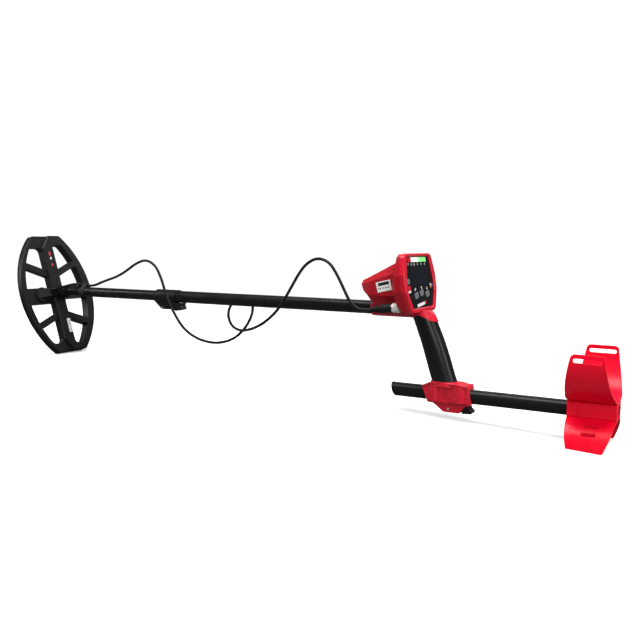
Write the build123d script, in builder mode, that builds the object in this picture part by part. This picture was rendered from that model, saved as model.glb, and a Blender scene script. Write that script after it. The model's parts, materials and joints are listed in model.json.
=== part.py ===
from build123d import *
import os
from math import atan2, cos, degrees, radians, sin, tan

# Collapsible hobby metal detector, standing on the heel of its coil and the feet of its armrest.
# Millimetres.  Pieces are drawn in the shaft's frame: X runs along the front shaft from the coil
# pivot (zero) towards the user, Y to the user's right, Z up.  The last lines turn everything by
# the small angle at which the detector stands, with the origin under the middle of its footprint.

# ---------------------------------------------------------------- driving dimensions
SHAFT_R = 9.85  # lower shaft
MIDDLE_R = 11.1  # middle shaft
MIDDLE_BORE_R = 10.15
ARM_R = 11.275  # rear shaft that carries the armrest
WALL = 1.5  # tube walls
SLIDE_FIT = 0.06  # radial clearance of tubes in their guides
PIN_FIT = 0.06  # radial clearance of hinge pins

LOWER_START, LOWER_END = 16.0, 540.0
MIDDLE_START, MIDDLE_END = 281.0, 786.0
ARM_START, ARM_END = 764.0, 1101.0
ARM_Z = -131.3

COIL_LENGTH, COIL_WIDTH = 254.0, 178.0
COIL_END_HALF = 35.0  # half the square-cut toe and heel
COIL_TILT = 17.7  # sole leans this far back from square to the shaft
PIVOT_HEIGHT = 32.5  # pivot above the sole
SKID = 2.0  # skid plate
LEFT_TOP, RIGHT_TOP = 12.5, 18.0  # heights of the two halves above the sole
SPINE_LEFT, SPINE_RIGHT = -17.5, 8.5
RING_IN_LEFT, RING_IN_RIGHT = 77.5, 68.5
EAR_GAP, EAR_OUT, EAR_R = 11.2, 17.5, 10.5
BOLT_R = 4.0
BOLT_HEAD_R, BOLT_HEAD = 5.6, 2.5
ARM_TOE, ARM_WIDTH, ARM_TOP = 9.0, 17.0, 26.5  # the near ear's arm on the coil

LEAN = 8.7  # top of the display leans towards the coil
DISPLAY = Plane(origin=(801.6, 0, 44.1), x_dir=(0, 1, 0), z_dir=(cos(radians(LEAN)), 0, sin(radians(LEAN))))
HOUSING_FRONT = 785.5  # front edge of the display housing
POD_WALL = 2.2
SOCKET_X, SOCKET_Y, SOCKET_Z = 780.0, -38.0, 4.5  # a point on the plug's axis
PLUG_RISE = 7.0  # the plug's axis rises towards the pod
SOCKET_R = 5.4
BOOT_START = 732.0
CABLE_R = 2.5
FOOT_X, FOOT_Z = 1070.0, -180.0  # middle of the armrest's feet

COIL_N = (cos(radians(COIL_TILT)), 0, sin(radians(COIL_TILT)))  # out of the coil's top
COIL_A = (-sin(radians(COIL_TILT)), 0, cos(radians(COIL_TILT)))  # towards its toe
HEELWARD = (-COIL_A[0], 0, -COIL_A[2])

pieces = {}


def finish(piece, label):
    """Name a finished piece and keep it for export."""
    piece.part.label = label
    pieces[label] = piece.part


def across(x, y=0, z=0):
    """Plane square to the shaft: local x is Y, local y is Z, outward is +X."""
    return Plane(origin=(x, y, z), x_dir=(0, 1, 0), z_dir=(1, 0, 0))


def upright(y=0.0):
    """Side-view plane at Y = y: local x is X, local y is Z, outward is -Y."""
    return Plane.XZ.offset(-y)


def on_coil(height):
    """Plane parallel to the coil's sole: local x is Y, local y runs to the toe."""
    lift = height - PIVOT_HEIGHT
    return Plane(origin=(lift * COIL_N[0], 0, lift * COIL_N[2]), x_dir=(0, 1, 0), z_dir=COIL_N)


def coil_point(toe, right, height):
    """A point given in the coil's own directions, in the shaft's frame."""
    lift = height - PIVOT_HEIGHT
    return (toe * COIL_A[0] + lift * COIL_N[0], right, toe * COIL_A[2] + lift * COIL_N[2])


def on_plug(distance):
    """Plane square to the plug's sloping axis; distances are counted as X along it."""
    slope = radians(PLUG_RISE)
    run = distance - SOCKET_X
    middle = (SOCKET_X + run * cos(slope), SOCKET_Y, SOCKET_Z + run * sin(slope))
    return Plane(origin=middle, x_dir=(0, 1, 0), z_dir=(cos(slope), 0, sin(slope)))


# ---------------------------------------------------------------- coil plan shapes
def coil_outline(inset):
    """Two long arcs between a square-cut toe and heel."""
    end = COIL_LENGTH / 2 - inset
    corner = COIL_END_HALF - inset
    with BuildSketch() as outline:
        with BuildLine():
            ThreePointArc((corner, -end), (COIL_WIDTH / 2 - inset, 0), (corner, end))
            Line((corner, end), (-corner, end))
            ThreePointArc((-corner, end), (-COIL_WIDTH / 2 + inset, 0), (-corner, -end))
            Line((-corner, -end), (corner, -end))
        make_face()
        fillet(outline.vertices(), 9 - inset)
    return outline.faces()


def d_window(ring, spine, toe, heel, toe_half, heel_half, corner):
    """The inside of one D, before its spokes: straight at the spine, an arc along the ring."""
    with BuildSketch() as window:
        with BuildLine():
            ThreePointArc((heel_half, heel), (ring, 0), (toe_half, toe))
            Polyline((toe_half, toe), (spine, toe), (spine, heel), (heel_half, heel))
        make_face()
        fillet(window.vertices(), corner)
    return window.faces()


def bar(start, end, width):
    """A flat bar between two points of the coil's plan."""
    run = Vector(end[0] - start[0], end[1] - start[1])
    middle = ((start[0] + end[0]) / 2, (start[1] + end[1]) / 2, 0)
    with BuildSketch() as strip:
        with Locations(Location(middle, (0, 0, 1), degrees(atan2(run.Y, run.X)))):
            Rectangle(run.length, width)
    return strip.faces()


def grown(window, amount):
    """A window with every side moved out by `amount`."""
    with BuildSketch() as wider:
        add(window)
        offset(amount=amount)
    return wider.faces()


def winding(window, gap, width):
    """A D-shaped loop lying `gap` outside a window, `width` across."""
    inside = grown(window, gap)
    outside = grown(window, gap + width)
    with BuildSketch() as loop:
        add(outside)
        add(inside, mode=Mode.SUBTRACT)
    return loop.faces()


OUTER_PLAN = coil_outline(0)
SHELL_PLAN = coil_outline(0.8)
LEFT_WINDOW = d_window(-RING_IN_LEFT, SPINE_LEFT, 101, -107, -46, -42, 10)
RIGHT_WINDOW = d_window(RING_IN_RIGHT, SPINE_RIGHT, 106, -111, 32, 30, 8)
SPOKES = [
    bar((-10, 41), (-86, 70), 12.5),
    bar((-10, -46), (-86, -76), 12.5),
    bar((2, 40), (84, 76), 12.5),
    bar((2, -46), (84, -76), 12.5),
    bar((0, -3.5), (-84, -3.5), 33),
    bar((0, -2), (80, -2), 20),
]

with BuildSketch() as openings:
    add(LEFT_WINDOW)
    add(RIGHT_WINDOW)
    for spoke in SPOKES:
        add(spoke, mode=Mode.SUBTRACT)

with BuildSketch() as raised_half:
    # the raised right half, with its two slanting corners
    add(SHELL_PLAN)
    Polygon(
        (14, 140), (SPINE_LEFT, 99), (SPINE_LEFT, -99), (12, -140), (95, -140), (95, 140),
        align=None, mode=Mode.INTERSECT,
    )

# ---------------------------------------------------------------- coil
with BuildPart() as skid_plate:
    with BuildSketch(on_coil(0)):
        add(OUTER_PLAN)
        add(openings.faces(), mode=Mode.SUBTRACT)
    extrude(amount=SKID)
finish(skid_plate, "skid_plate")

with BuildPart() as coil_bottom_shell:
    with BuildSketch(on_coil(SKID)):
        add(SHELL_PLAN)
        add(openings.faces(), mode=Mode.SUBTRACT)
    extrude(amount=2)
finish(coil_bottom_shell, "coil_bottom_shell")

SHELL_BASE = SKID + 2
CHANNEL_TOP = LEFT_TOP - 2.5

TRANSMIT_CHANNEL = winding(LEFT_WINDOW, 1.4, 3.8)
RECEIVE_CHANNEL = winding(RIGHT_WINDOW, 2, 6)
TRANSMIT_LOOP = winding(LEFT_WINDOW, 1.8, 3.0)
RECEIVE_LOOP = winding(RIGHT_WINDOW, 2.6, 4.8)
BOARD_SPOT = (-46, -3)

with BuildPart() as coil_top_shell:
    with BuildSketch(on_coil(SHELL_BASE)):
        add(SHELL_PLAN)
    extrude(amount=LEFT_TOP - SHELL_BASE)
    fillet(coil_top_shell.faces().sort_by(Axis((0, 0, 0), COIL_N))[-1].edges(), 2.2)
    with BuildSketch(on_coil(SHELL_BASE + 3)):
        add(raised_half.faces())
    extrude(amount=RIGHT_TOP - SHELL_BASE - 3)
    chamfer(coil_top_shell.faces().sort_by(Axis((0, 0, 0), COIL_N))[-1].edges(), 2)
    with BuildSketch(on_coil(SHELL_BASE)):
        add(openings.faces())
    extrude(amount=RIGHT_TOP, mode=Mode.SUBTRACT)
    # channels for the two windings, and a pocket for the small board in the left cross bar
    with BuildSketch(on_coil(SHELL_BASE)):
        add(TRANSMIT_CHANNEL)
        add(RECEIVE_CHANNEL)
        with Locations(BOARD_SPOT):
            Rectangle(30, 24)
    extrude(amount=CHANNEL_TOP - SHELL_BASE, mode=Mode.SUBTRACT)
    # pad and ramp that carry the near ear, with a round outer end
    with BuildSketch(on_coil(LEFT_TOP - 2)):
        with Locations((-44, -2)):
            Circle(16)
        with Locations((-30, -2)):
            Rectangle(28, 27)
    extrude(amount=5.5)
    with BuildSketch(Plane(origin=coil_point(ARM_TOE, 0, 0), x_dir=(0, 1, 0), z_dir=HEELWARD)):
        Polygon(
            (-56, LEFT_TOP - 1), (-56, 15.5), (-34, ARM_TOP), (-EAR_GAP - 1.5, ARM_TOP),
            (-EAR_GAP - 1.5, LEFT_TOP - 1), align=None,
        )
        Polygon(
            (EAR_GAP + 1, SHELL_BASE), (26, SHELL_BASE), (26, RIGHT_TOP), (EAR_GAP + 1, RIGHT_TOP),
            align=None,
        )
    extrude(amount=ARM_WIDTH)
    # the two ears
    for inner, outer in ((-EAR_OUT, -EAR_GAP), (EAR_GAP, EAR_OUT)):
        with BuildSketch(Plane(origin=(0, inner, 0), x_dir=COIL_A, z_dir=(0, 1, 0))):
            # local y points up out of the coil
            Circle(EAR_R)
            with Locations((0, -(PIVOT_HEIGHT - LEFT_TOP + 2) / 2)):
                Rectangle(2 * EAR_R, PIVOT_HEIGHT - LEFT_TOP + 2)
        extrude(amount=outer - inner)
    # room for the shaft's end between the ears, and the bolt's hole
    with BuildSketch(upright(EAR_GAP)):
        Circle(12.2)
    extrude(amount=2 * EAR_GAP, mode=Mode.SUBTRACT)
    with BuildSketch(upright(70)):
        Circle(BOLT_R + 0.08)
    extrude(amount=140, mode=Mode.SUBTRACT)
    with BuildSketch(upright(EAR_OUT + 60)):
        Circle(13)
    extrude(amount=60, mode=Mode.SUBTRACT)
    with BuildSketch(upright(-EAR_OUT)):
        Circle(BOLT_HEAD_R + 0.3)
    extrude(amount=BOLT_HEAD + 1, mode=Mode.SUBTRACT)
finish(coil_top_shell, "coil_top_shell")

with BuildPart() as transmit_winding:
    with BuildSketch(on_coil(SHELL_BASE + 0.5)):
        add(TRANSMIT_LOOP)
    extrude(amount=4.5)
finish(transmit_winding, "transmit_winding")

with BuildPart() as receive_winding:
    with BuildSketch(on_coil(SHELL_BASE + 0.5)):
        add(RECEIVE_LOOP)
    extrude(amount=4.5)
finish(receive_winding, "receive_winding")

with BuildPart() as coil_board:
    with BuildSketch(on_coil(SHELL_BASE + 0.5)):
        with Locations(BOARD_SPOT):
            Rectangle(27, 21)
    extrude(amount=1.6)
    with BuildSketch(on_coil(SHELL_BASE + 2.1)):
        with Locations(BOARD_SPOT):
            with GridLocations(8, 8, 3, 2):
                Rectangle(4, 2.5)
    extrude(amount=1.4)
finish(coil_board, "coil_board")

with BuildPart() as coil_label:
    with BuildSketch(on_coil(RIGHT_TOP)):
        with Locations((3.7, -72)):
            RectangleRounded(9, 30, 1)
    extrude(amount=0.3)
finish(coil_label, "coil_label")

GLAND_TOE, GLAND_RIGHT = 4.2, -27.0  # where the cable leaves the coil's near arm
GLAND_TOP = 34.0  # height above the sole

with BuildPart() as cable_gland:
    with BuildSketch(on_coil(ARM_TOP)):
        with Locations((GLAND_RIGHT, GLAND_TOE)):
            RegularPolygon(4.7, 6)
    extrude(amount=2.5)
    with BuildSketch(on_coil(ARM_TOP + 2.5)):
        with Locations((GLAND_RIGHT, GLAND_TOE)):
            Circle(3.9)
    extrude(amount=GLAND_TOP - ARM_TOP - 2.5, taper=6)
finish(cable_gland, "cable_gland")

# ---------------------------------------------------------------- pivot between coil and shaft
with BuildPart() as pivot_bolt:
    with BuildSketch(upright(-EAR_OUT)):
        Circle(BOLT_HEAD_R)
    extrude(amount=BOLT_HEAD)
    chamfer(pivot_bolt.faces().sort_by(Axis.Y)[0].edges(), 0.8)
    with BuildSketch(upright(-EAR_OUT - BOLT_HEAD)):
        RegularPolygon(2.4, 6)
    extrude(amount=-1.5, mode=Mode.SUBTRACT)
    with BuildSketch(upright(EAR_OUT + 12)):
        Circle(BOLT_R)
    extrude(amount=2 * EAR_OUT + 12)
finish(pivot_bolt, "pivot_bolt")

with BuildPart() as coil_knob:
    # lobed thumb nut on the far end of the bolt
    with BuildSketch(upright(EAR_OUT + 3.4)):
        Circle(6.5)
    extrude(amount=3)
    with BuildSketch(upright(EAR_OUT + 10.9)):
        Circle(9.4)
        with PolarLocations(9.2, 6):
            Circle(2.4)
    extrude(amount=7.5)
    with BuildSketch(upright(EAR_OUT + 14)):
        Circle(BOLT_R + PIN_FIT)
    extrude(amount=14, mode=Mode.SUBTRACT)
finish(coil_knob, "coil_knob")

# ---------------------------------------------------------------- lower shaft
LUG_HALF = 8.0  # half thickness of the lug between the rubber washers
WASHER = 3.0

with BuildPart() as shaft_end_fitting:
    with BuildSketch(upright(LUG_HALF)):
        Circle(10.5)
        with Locations((LOWER_START / 2, 0)):
            Rectangle(LOWER_START, 2 * 9.2)
    extrude(amount=2 * LUG_HALF)
    with BuildSketch(across(12)):
        Circle(SHAFT_R + 0.6)
    extrude(amount=4)
    with BuildSketch(across(16)):
        Circle(SHAFT_R - WALL)
    extrude(amount=44)
    with BuildSketch(across(26)):
        Circle(SHAFT_R - WALL - 2.2)
    extrude(amount=40, mode=Mode.SUBTRACT)
    with BuildSketch(upright(20)):
        Circle(BOLT_R + PIN_FIT)
    extrude(amount=40, mode=Mode.SUBTRACT)
    lug_rims = shaft_end_fitting.faces().filter_by(Axis.Y).edges().filter_by(GeomType.CIRCLE)
    fillet(lug_rims.sort_by(SortBy.RADIUS)[-2:], 1)
finish(shaft_end_fitting, "shaft_end_fitting")

with BuildPart() as pivot_washers:
    for start in (LUG_HALF + WASHER, -LUG_HALF):
        with BuildSketch(upright(start)):
            Circle(9.5)
            Circle(BOLT_R + PIN_FIT, mode=Mode.SUBTRACT)
        extrude(amount=WASHER)
finish(pivot_washers, "pivot_washers")


def tube(radius, inner, start, end, z=0.0):
    """A plain tube along the shaft."""
    with BuildPart() as pipe:
        with BuildSketch(across(start, z=z)):
            Circle(radius)
            Circle(inner, mode=Mode.SUBTRACT)
        extrude(amount=end - start)
    return pipe


lower_tube = tube(SHAFT_R, SHAFT_R - WALL, LOWER_START, LOWER_END)
finish(lower_tube, "lower_tube")

with BuildPart() as lower_tube_bushing:
    with BuildSketch(across(LOWER_END)):
        Circle(MIDDLE_BORE_R - SLIDE_FIT)
    extrude(amount=3)
    with BuildSketch(across(LOWER_END)):
        Circle(SHAFT_R - WALL)
    extrude(amount=-20)
    with BuildSketch(across(LOWER_END + 3)):
        Circle(5.5)
    extrude(amount=-23, mode=Mode.SUBTRACT)
finish(lower_tube_bushing, "lower_tube_bushing")

STRAP_START, STRAP_END = 54.0, 64.0
STRAP_CABLE = (2.5, 12.75)  # centre of the cable in the strap: Y, Z

with BuildPart() as cable_strap:
    with BuildSketch(across(STRAP_START)):
        with BuildSketch(mode=Mode.PRIVATE) as rings:
            Circle(SHAFT_R + 1.1)
            with Locations(STRAP_CABLE):
                Circle(CABLE_R + 1.1)
        make_hull(rings.edges())
        Circle(SHAFT_R, mode=Mode.SUBTRACT)
        with Locations(STRAP_CABLE):
            Circle(CABLE_R, mode=Mode.SUBTRACT)
    extrude(amount=STRAP_END - STRAP_START)
finish(cable_strap, "cable_strap")

# ---------------------------------------------------------------- middle shaft and its front lock
middle_tube = tube(MIDDLE_R, MIDDLE_BORE_R, MIDDLE_START, MIDDLE_END)
finish(middle_tube, "middle_tube")

FRONT_PIN = (275.6, -21.3)
LOCK_COLLAR_R = 12.7
PIN_R = 2.2
LEVER_SLOT = 8.0  # width of the slot that the cam turns in
LEVER_ARM = 7.4
CAM_R, CAM_THROW = 4.2, 0.8


def lock_lever(pin, arm, tab, tab_half, cam_r, throw):
    """Cam, arm and thumb tab in one piece; side outlines are given as points."""
    with BuildPart() as lever:
        with BuildSketch(upright(LEVER_ARM / 2)):
            with Locations((pin[0], pin[1] + throw)):
                Circle(cam_r)
            Polygon(*arm, align=None)
        extrude(amount=LEVER_ARM)
        with BuildSketch(upright(tab_half)):
            Polygon(*tab, align=None)
        extrude(amount=2 * tab_half)
        fillet(lever.edges().filter_by(Axis.Y).sort_by(Axis.X)[-2:], 1.2)
        with BuildSketch(upright(20)):
            with Locations(pin):
                Circle(PIN_R + PIN_FIT)
        extrude(amount=40, mode=Mode.SUBTRACT)
    return lever


def across_pin(pin, half_length):
    """A plain hinge pin along Y."""
    with BuildPart() as shank:
        with BuildSketch(upright(half_length)):
            with Locations(pin):
                Circle(PIN_R)
        extrude(amount=2 * half_length)
    return shank


with BuildPart() as front_lock_body:
    with BuildSketch(upright(30)):
        # side outline, clipped below to the collar and keel
        Polygon(
            (258.5, 13), (311.5, 13), (303.5, -12), (302, -24.9), (274, -24.9), (252.5, -7.6), align=None
        )
    extrude(amount=60)
    with BuildSketch(across(250)):
        Circle(LOCK_COLLAR_R)
        with Locations((0, -12.5)):
            Rectangle(17, 25)
    extrude(amount=70, mode=Mode.INTERSECT)
    fillet(front_lock_body.edges().filter_by(Axis.X).sort_by(Axis.Z)[:2], 2.5)
    with BuildSketch(across(MIDDLE_START)):
        Circle(MIDDLE_R)
    extrude(amount=40, mode=Mode.SUBTRACT)
    with BuildSketch(across(250)):
        Circle(SHAFT_R + SLIDE_FIT)
    extrude(amount=40, mode=Mode.SUBTRACT)
    with BuildSketch(upright(LEVER_SLOT / 2)):
        with Locations(FRONT_PIN):
            Circle(6.2)
        Polygon((269.4, -21.3), (269.4, -30), (310, -30), (310, -17.4), (275.6, -15.1), align=None)
    extrude(amount=LEVER_SLOT, mode=Mode.SUBTRACT)
    with BuildSketch(across(270)):
        with Locations((0, -13)):
            Rectangle(LEVER_SLOT, 8)
    extrude(amount=11, mode=Mode.SUBTRACT)
    with BuildSketch(upright(20)):
        with Locations(FRONT_PIN):
            Circle(PIN_R)
    extrude(amount=40, mode=Mode.SUBTRACT)
finish(front_lock_body, "front_lock_body")

front_lock_pin = across_pin(FRONT_PIN, 8.3)
finish(front_lock_pin, "front_lock_pin")

with BuildPart() as front_lock_pad:
    # soft shoe that the cam presses on the lower shaft, just ahead of the middle shaft's end
    with BuildSketch(across(270.6)):
        with Locations((0, -12.9)):
            Rectangle(7.6, 5.6)
        Circle(SHAFT_R + 0.3, mode=Mode.SUBTRACT)
    extrude(amount=9.6)
finish(front_lock_pad, "front_lock_pad")

front_lever = lock_lever(
    FRONT_PIN,
    ((275.6, -17.8), (307, -18.8), (307, -25), (275.6, -24.6)),
    ((304.8, -12.4), (320.5, -11.7), (318.8, -16.5), (322.6, -23.6), (309, -27), (304, -24.8)),
    8.5,
    CAM_R,
    CAM_THROW,
)
finish(front_lever, "front_lever")

# ---------------------------------------------------------------- control pod
NOSE_SECTIONS = (
    # X, half width, crease height, top height, half width of the top
    (705.0, 21.0, 37.0, 43.0, 13.0),
    (724.0, 29.0, 42.0, 51.5, 17.0),
    (750.0, 34.0, 50.0, 64.2, 20.0),
    (790.0, 38.0, 64.0, 83.8, 26.0),
)
NOSE_BASE, NOSE_BASE_HALF, NOSE_KNEE = -8.0, 14.0, 22.0
CRADLE_R = 13.6
HOUSING_BACK = -5.0  # from the lens's face to where the bezel begins
BEZEL_PROUD = 2.5
DOOR_TILT = 26.1
DOOR = Plane(
    origin=(745, 0, 61.7),
    x_dir=(cos(radians(DOOR_TILT)), 0, sin(radians(DOOR_TILT))),
    z_dir=(-sin(radians(DOOR_TILT)), 0, cos(radians(DOOR_TILT))),
)


def nose(inset):
    """The pod's tapering nose, with every wall moved in by `inset`."""
    with BuildPart() as solid:
        for x, half, crease, top, top_half in NOSE_SECTIONS:
            with BuildSketch(across(x)):
                Polygon(
                    (-NOSE_BASE_HALF + inset, NOSE_BASE + inset),
                    (-half + inset, NOSE_KNEE + inset * 0.4),
                    (-half + inset, crease - inset * 0.4),
                    (-top_half + inset * 0.4, top - inset),
                    (top_half - inset * 0.4, top - inset),
                    (half - inset, crease - inset * 0.4),
                    (half - inset, NOSE_KNEE + inset * 0.4),
                    (NOSE_BASE_HALF - inset, NOSE_BASE + inset),
                    align=None,
                )
        loft(ruled=True)
        with BuildSketch(upright(60)):
            Polygon(
                (709.5 + inset, 38.5),
                (705 + inset, 60),
                (800, 100),
                (800, -14),
                (732.5 + inset, -14),
                (732.2 + inset, 4.5),
                (723.5 + inset, 21 + inset * 0.4),
                (714.5 + inset, 28 + inset * 0.8),
                align=None,
            )
        extrude(amount=120, mode=Mode.INTERSECT)
    return solid.part


def display_outline(inset):
    """Outline of the display housing in the display's own plane."""
    with BuildSketch() as outline:
        Polygon(
            (-55, 45.5), (-65.5, 12), (-65, -14), (-49, -48.3),
            (49, -48.3), (65, -14), (65.5, 12), (55, 45.5), align=None,
        )
        fillet(outline.vertices(), 12)
        if inset > 0:
            offset(amount=-inset)
    return outline.faces()


def lens_outline(growth):
    """Outline of the display window."""
    with BuildSketch() as outline:
        Polygon(
            (-46, 40.5), (-55.5, 0), (-54.5, -16), (-42, -40.5),
            (42, -40.5), (54.5, -16), (55.5, 0), (46, 40.5), align=None,
        )
        fillet(outline.vertices(), 7)
        if growth:
            offset(amount=growth)
    return outline.faces()


HOUSING_PLAN = display_outline(0)
HOUSING_INNER = display_outline(POD_WALL)
NOSE_OUTER = nose(0)
NOSE_INNER = nose(POD_WALL)


def housing_side(inset):
    """Side outline of the display housing: upright front, curving back underneath."""
    with BuildSketch() as side:
        with BuildLine():
            front = HOUSING_FRONT + inset
            Polyline((front, 24), (front, 100), (830, 100), (830, -8 + inset))
            Line((830, -8 + inset), (806, -8 + inset))
            ThreePointArc((806, -8 + inset), (790 + inset * 0.8, 4 + inset * 0.7), (front, 24))
        make_face()
    return side.faces()


FLARE_SECTIONS = (
    # X, then Y and Z of the low, middle and high corners
    (770.0, (36, 22), (36, 57), (23, 74)),
    (778.0, (50, 24.5), (51, 56), (40, 83.5)),
    (788.0, (62, 27), (63.5, 56), (51, 86)),
)


def flare(inset, shift):
    """Where the nose widens into the display housing; its walls are moved in by `inset`."""
    with BuildPart() as wedge:
        for x, low, middle, high in FLARE_SECTIONS:
            right = (
                (high[0] - inset * 0.7, high[1] - inset),
                (middle[0] - inset, middle[1]),
                (low[0] - inset, low[1] + inset),
            )
            left = [(-y, z) for y, z in reversed(right)]
            with BuildSketch(across(x + shift)):
                Polygon(*left, *right, align=None)
        loft(ruled=True)
    return wedge.part


FLARE_OUTER = flare(0, 0)
FLARE_INNER = flare(3, 2.5)
HOUSING_SIDE = housing_side(0)
HOUSING_SIDE_INNER = housing_side(POD_WALL)

with BuildPart() as housing_inner:
    with BuildSketch(DISPLAY.offset(HOUSING_BACK + 1)):
        add(HOUSING_INNER)
    extrude(amount=-34)
    with BuildSketch(upright(80)):
        add(HOUSING_SIDE_INNER)
    extrude(amount=160, mode=Mode.INTERSECT)

POD_SCREWS = ((51, 69), (57, 36), (-51, 69), (-57, 36))  # their axes run along X
POD_SCREW_FLOOR = 784.8

with BuildSketch() as seam_side:
    # side outline of what lifts off as the battery hood
    Polygon(
        (700, 33), (713, 37.8), (739.3, 47), (759.7, 55.1), (762.3, 59.7), (766.6, 64.8), (770.8, 71.9),
        (772, 100), (700, 100), align=None,
    )
SEAM = seam_side.faces()
SEAM_GAP = grown(SEAM, 0.35)

with BuildPart() as pod_body:
    with BuildSketch(DISPLAY.offset(HOUSING_BACK)):
        add(HOUSING_PLAN)
    extrude(amount=-34)
    with BuildSketch(upright(80)):
        add(HOUSING_SIDE)
    extrude(amount=160, mode=Mode.INTERSECT)
    add(NOSE_OUTER)
    add(FLARE_OUTER)
    add(NOSE_INNER, mode=Mode.SUBTRACT)
    add(housing_inner.part, mode=Mode.SUBTRACT)
    add(FLARE_INNER, mode=Mode.SUBTRACT)
    # saddle over the cradle
    with BuildSketch(across(700)):
        Circle(CRADLE_R + 2)
    extrude(amount=96)
    with BuildSketch(upright(80)):
        # nothing of the saddle shows ahead of the nose, below it or behind the housing
        Polygon(
            (690, 38.5), (709.5, 38.5), (714.5, 28), (723.5, 21), (732.2, 4.5), (732.5, -40), (690, -40),
            align=None,
        )
        Polygon((720, -40), (720, -8), (830, -8), (830, -40), align=None)
    extrude(amount=160, mode=Mode.SUBTRACT)
    with BuildSketch(across(700)):
        Circle(CRADLE_R)
    extrude(amount=96.5, mode=Mode.SUBTRACT)
    # everything above the seam belongs to the battery hood
    with BuildSketch(upright(60)):
        add(SEAM_GAP)
    extrude(amount=120, mode=Mode.SUBTRACT)
    # socket hole, slots for the speaker and seats for the screws
    with BuildSketch(on_plug(776)):
        Circle(SOCKET_R + 0.8)
    extrude(amount=22, mode=Mode.SUBTRACT)
    with BuildSketch(upright(60)):
        with Locations((752, 12), (760, 11), (768, 10)):
            SlotOverall(10, 1.8, rotation=70)
    extrude(amount=40, mode=Mode.SUBTRACT)
    with BuildSketch(across(POD_SCREW_FLOOR)):
        with Locations(POD_SCREWS):
            Circle(4.6)
    extrude(amount=3.5)
    with BuildSketch(across(POD_SCREW_FLOOR)):
        with Locations(POD_SCREWS):
            Circle(3)
    extrude(amount=-24, mode=Mode.SUBTRACT)
finish(pod_body, "pod_body")

with BuildPart() as pod_screws:
    with BuildSketch(across(POD_SCREW_FLOOR)):
        with Locations(POD_SCREWS):
            Circle(2.7)
    extrude(amount=-1.4)
    with BuildSketch(across(POD_SCREW_FLOOR - 1.4)):
        with Locations(POD_SCREWS):
            RegularPolygon(1.4, 6)
    extrude(amount=0.9, mode=Mode.SUBTRACT)
finish(pod_screws, "pod_screws")

LENS_HOLE = lens_outline(0.15)
LENS_PLAN = lens_outline(0)
LENS_LEDGE = lens_outline(-2.5)

with BuildPart() as pod_bezel:
    with BuildSketch(DISPLAY.offset(HOUSING_BACK)):
        add(HOUSING_PLAN)
    extrude(amount=BEZEL_PROUD - HOUSING_BACK)
    fillet(pod_bezel.faces().sort_by(Axis((0, 0, 0), DISPLAY.z_dir))[-1].edges(), 2.4)
    with BuildSketch(DISPLAY.offset(-2.2)):
        add(LENS_HOLE)
    extrude(amount=10, mode=Mode.SUBTRACT)
    with BuildSketch(DISPLAY.offset(-12)):
        add(LENS_LEDGE)
    extrude(amount=20, mode=Mode.SUBTRACT)
    chamfer(pod_bezel.faces().sort_by(Axis((0, 0, 0), DISPLAY.z_dir))[-1].inner_wires().edges(), 1.6)
finish(pod_bezel, "pod_bezel")

# place in the display's plane (Y, up), length, width, corner, turn
KEYS = {
    "power_key": ((-46.6, 1.8), 10.4, 9.2, 4.5, 0),
    "left_key": ((-20.0, -21.0), 14.5, 9.5, 3.0, 14),
    "middle_key": ((2.2, -17.8), 14.5, 9.5, 3.0, 14),
    "right_key": ((26.0, -20.2), 14.5, 9.5, 3.0, 14),
}

with BuildPart() as display_lens:
    with BuildSketch(DISPLAY.offset(-2.2)):
        add(LENS_PLAN)
        for spot, length, width, corner, turn in KEYS.values():
            with Locations(spot):
                RectangleRounded(length + 0.7, width + 0.7, corner, rotation=turn, mode=Mode.SUBTRACT)
    extrude(amount=2.2)
finish(display_lens, "display_lens")

for key_name, (spot, length, width, corner, turn) in KEYS.items():
    with BuildPart() as key:
        with BuildSketch(DISPLAY.offset(-6.5)):
            with Locations(spot):
                RectangleRounded(length, width, corner, rotation=turn)
        extrude(amount=7.2)
        fillet(key.faces().sort_by(Axis((0, 0, 0), DISPLAY.z_dir))[-1].edges(), 0.6)
    finish(key, key_name)

with BuildPart() as lcd_module:
    with BuildSketch(DISPLAY.offset(-6)):
        with Locations((0, 19)):
            RectangleRounded(72, 34, 2)
    extrude(amount=3.6)
finish(lcd_module, "lcd_module")

with BuildPart() as main_board:
    with BuildSketch(DISPLAY.offset(-9.8)):
        with Locations((0, -9)):
            RectangleRounded(84, 50, 3)
    extrude(amount=1.6)
    with BuildSketch(DISPLAY.offset(-8.2)):
        with Locations((-26, 8), (20, 6)):
            Rectangle(12, 10)
        with Locations((18, -31), (-8, -31)):
            Rectangle(8, 4)
    extrude(amount=1.4)
finish(main_board, "main_board")

CELL_R, CELL_LENGTH, CELL_START = 7.2, 50.0, 731.5
CELL_SPOTS = ((-8, 25.2), (8, 25.2), (-8, 40.2), (8, 40.2))

with BuildPart() as battery_cells:
    with BuildSketch(across(CELL_START)):
        with Locations(CELL_SPOTS):
            Circle(CELL_R)
    extrude(amount=CELL_LENGTH)
    with BuildSketch(across(CELL_START + CELL_LENGTH)):
        with Locations(CELL_SPOTS):
            Circle(2.7)
    extrude(amount=1)
finish(battery_cells, "battery_cells")

with BuildPart() as battery_tray:
    with BuildSketch(across(CELL_START - 1.6)):
        with Locations((0, 24.6)):
            Rectangle(34, 15.6)
    extrude(amount=CELL_LENGTH + 5)
    with BuildSketch(across(CELL_START - 0.6)):
        with Locations(CELL_SPOTS):
            Circle(CELL_R + 0.3)
    extrude(amount=CELL_LENGTH + 2.9, mode=Mode.SUBTRACT)
finish(battery_tray, "battery_tray")

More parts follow.
